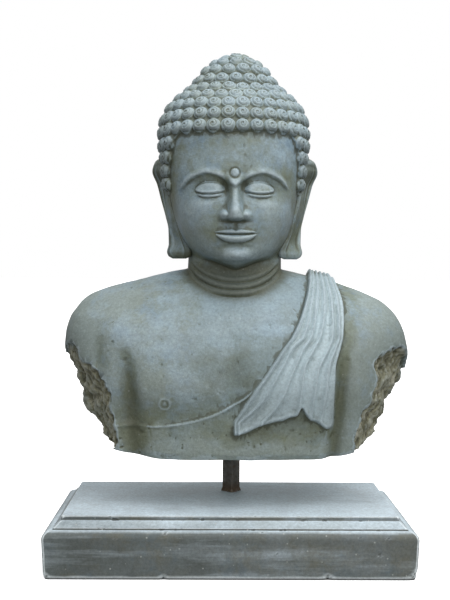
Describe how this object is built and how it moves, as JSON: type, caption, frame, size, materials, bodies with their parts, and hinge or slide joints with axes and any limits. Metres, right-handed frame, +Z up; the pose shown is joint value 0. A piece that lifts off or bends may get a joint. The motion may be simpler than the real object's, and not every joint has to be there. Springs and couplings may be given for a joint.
{
  "type": "stone buddha bust on a stand",
  "caption": "Weathered stone Buddha bust with snail-shell curls, long ears and a pleated sash, its arms broken off, held by a square steel post over a stepped stone plinth",
  "frame": {"origin": "centre of the plinth's underside, on the floor", "axes": "+Z up, the figure faces -Y, +X to the viewer's right and along the plinth's long side"},
  "size_m": [0.5507, 0.2819, 0.783],
  "materials": {
    "bust_stone": "matte",
    "post_steel": "satin",
    "plinth_stone": "matte"
  },
  "bodies": {
    "root": {"bust": "bust_stone", "post": "post_steel", "plinth": "plinth_stone"}
  },
  "joints": []
}
